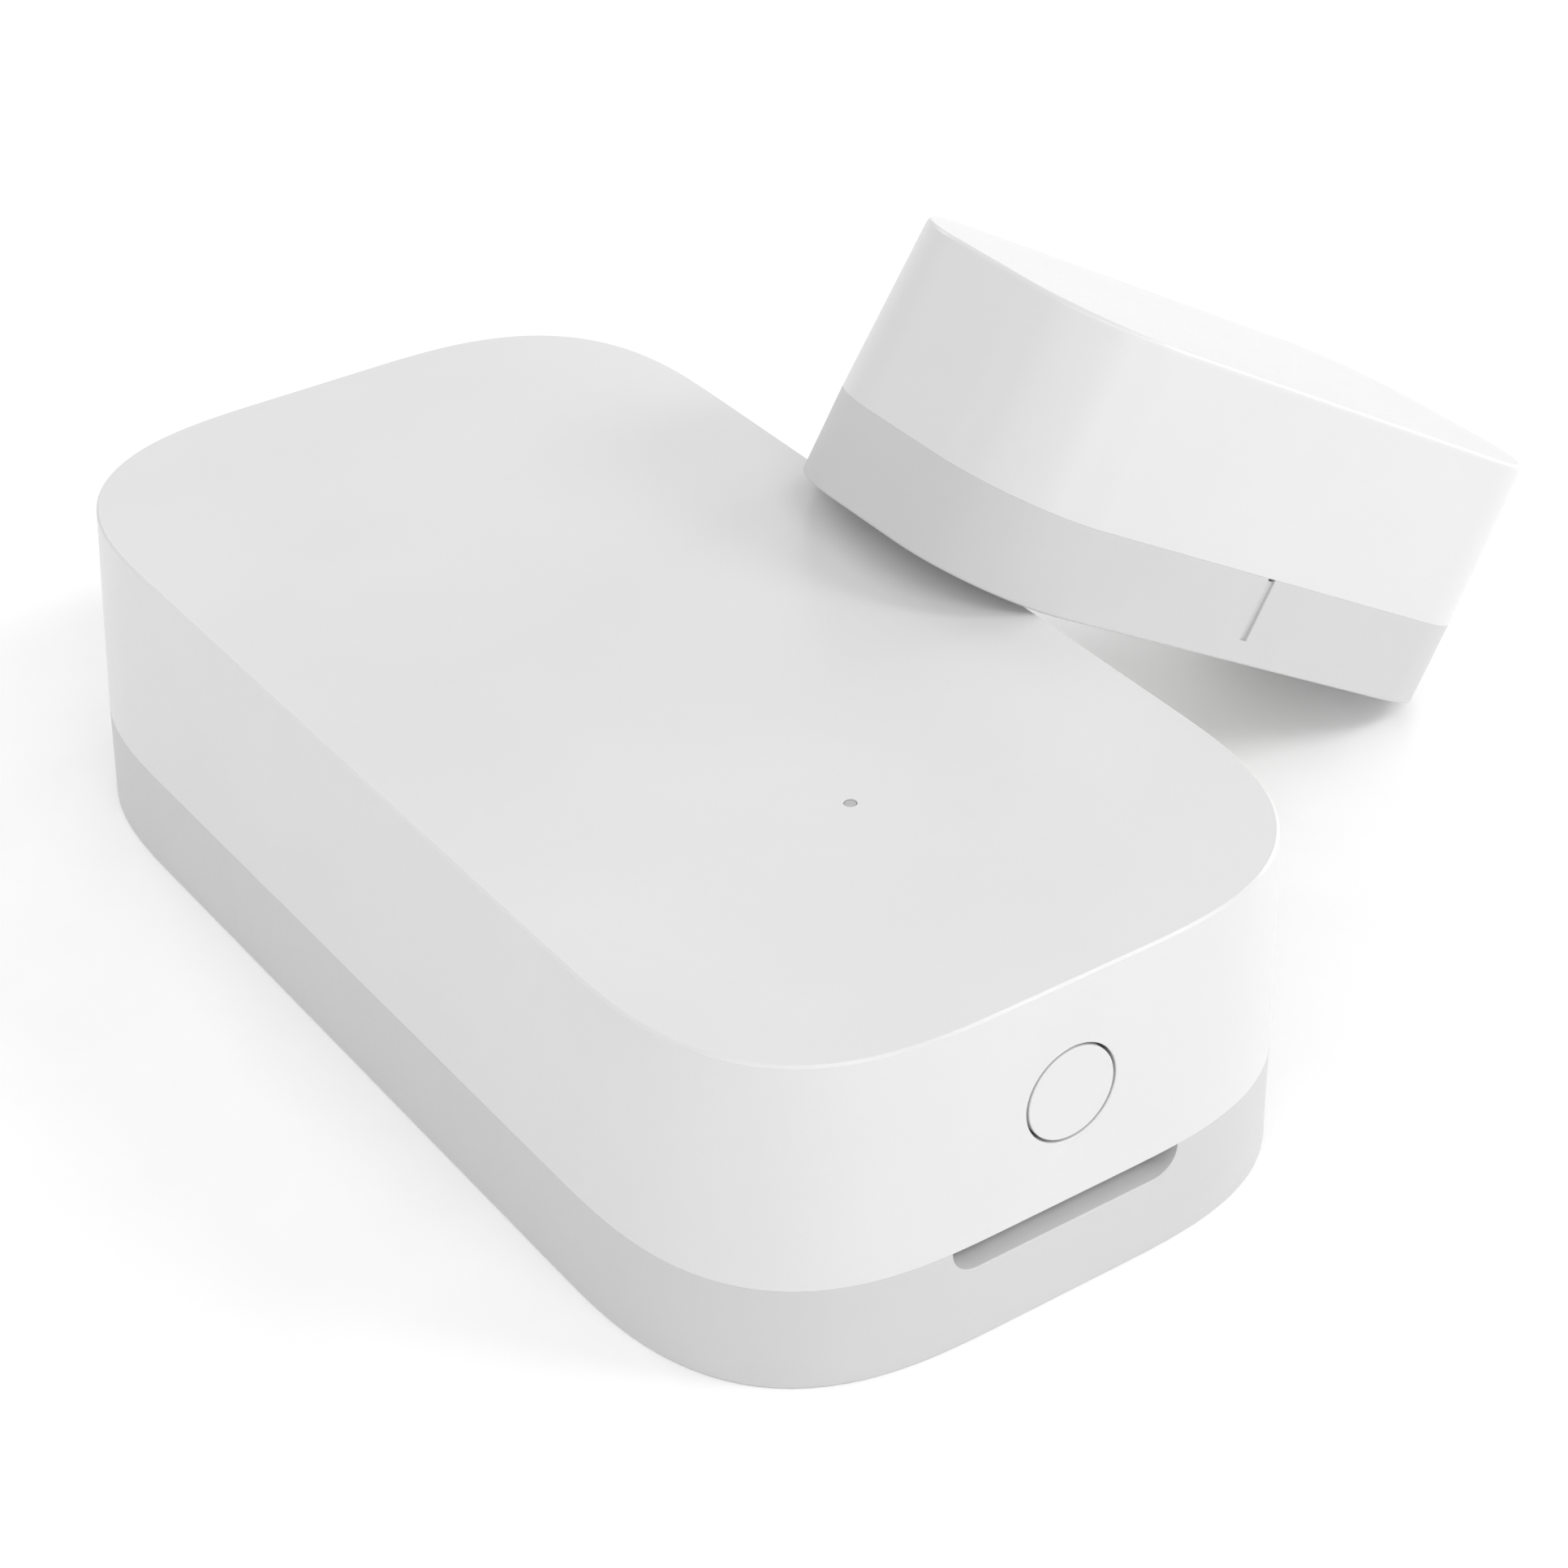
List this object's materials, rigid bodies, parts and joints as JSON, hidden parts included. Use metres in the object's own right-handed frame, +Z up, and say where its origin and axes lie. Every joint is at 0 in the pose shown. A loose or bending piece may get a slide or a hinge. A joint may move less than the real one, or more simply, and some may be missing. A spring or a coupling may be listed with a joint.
{
  "type": "door and window contact sensor",
  "caption": "Two-piece wireless contact sensor: a rounded white sensor unit with an end button, pin-hole light and pry notch, and a smaller magnet unit leaning on it.",
  "frame": {"origin": "centre of the sensor unit's flat underside", "axes": "+Z up; Y along the sensor unit's long side with the button in the -Y end wall; the magnet unit leans on the +X side"},
  "size_m": [0.0446, 0.041, 0.0199],
  "materials": {
    "housing_white": "satin",
    "cover_white": "satin",
    "button_white": "satin",
    "light_pipe": "gloss",
    "adhesive_tape": "matte",
    "circuit_board": "satin",
    "black_plastic": "matte",
    "stamped_steel": "satin",
    "copper_trace": "satin",
    "capacitor_ceramic": "satin",
    "resistor_black": "satin",
    "led_body": "gloss",
    "reed_glass": "gloss",
    "spring_alloy": "satin",
    "cell_steel": "satin",
    "cell_gasket": "matte",
    "cell_core": "matte",
    "magnet_block": "satin"
  },
  "bodies": {
    "base": {"base_cover": "cover_white", "sensor_tape": "adhesive_tape"},
    "housing": {"upper_housing": "housing_white", "light_pipe": "light_pipe", "switch_body": "black_plastic", "switch_frame": "stamped_steel", "switch_dome": "stamped_steel", "circuit_board": "circuit_board", "radio_chip": "black_plastic", "crystal": "stamped_steel", "bulk_capacitor": "capacitor_ceramic", "status_led": "led_body", "chip_capacitors": "capacitor_ceramic", "chip_resistors": "resistor_black", "test_pads": "copper_trace", "antenna_trace": "copper_trace", "reed_glass": "reed_glass", "reed_leads": "spring_alloy", "cell_can": "cell_steel", "cell_gasket": "cell_gasket", "cell_lid": "cell_steel", "cell_core": "cell_core", "positive_clip": "stamped_steel", "negative_contact": "spring_alloy"},
    "button": {"reset_button": "button_white", "switch_plunger": "black_plastic"},
    "magnet_unit": {"magnet_cap": "housing_white", "magnet_base": "cover_white", "bar_magnet": "magnet_block", "magnet_tape": "adhesive_tape"}
  },
  "joints": [
    {"name": "housing_lift", "type": "slide", "parent": "base", "child": "housing", "axis": [0, 0, 1], "range_m": [0, 0.012]},
    {"name": "button_press", "type": "slide", "parent": "housing", "child": "button", "axis": [0, 1, 0], "range_m": [0, 0.00025], "stiffness_N_per_m": 4000, "deforming": ["switch_dome"]},
    {"name": "magnet_lift", "type": "slide", "parent": "housing", "child": "magnet_unit", "axis": [0.5, 0, 0.866], "range_m": [0, 0.015]}
  ]
}
